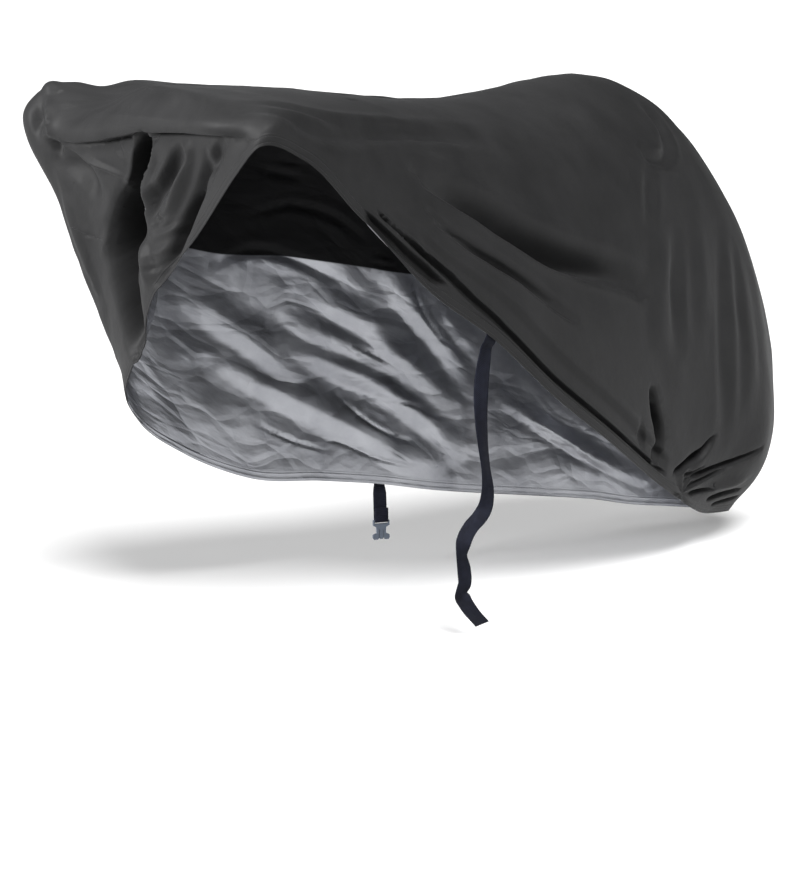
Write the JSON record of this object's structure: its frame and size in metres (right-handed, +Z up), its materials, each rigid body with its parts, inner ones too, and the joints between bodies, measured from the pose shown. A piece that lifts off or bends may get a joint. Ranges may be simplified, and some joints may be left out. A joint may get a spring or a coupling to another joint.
{
  "type": "bicycle cover",
  "caption": "Fitted rain cover for bicycles side by side, front corner lifted, with a hanging webbing strap and a short buckle strap on the hems.",
  "frame": {"origin": "underside of the cloth on the ridge above the saddles, where the cover rests", "axes": "+X from nose to tail, +Y to the far side (the side whose hem hangs down), +Z up"},
  "size_m": [1.9184, 0.6974, 1.1251],
  "materials": {
    "coated_cloth": "closely woven black polyester with a soft sheen, silver-coated inside",
    "webbing": "flat woven navy-black webbing",
    "ribbed_webbing": "cross-ribbed navy-black webbing",
    "buckle_plastic": "moulded grey-blue plastic, satin"
  },
  "bodies": {
    "root": {"cover_cloth": "coated_cloth", "long_strap": "webbing", "short_strap": "ribbed_webbing", "strap_plug": "buckle_plastic"}
  },
  "joints": []
}
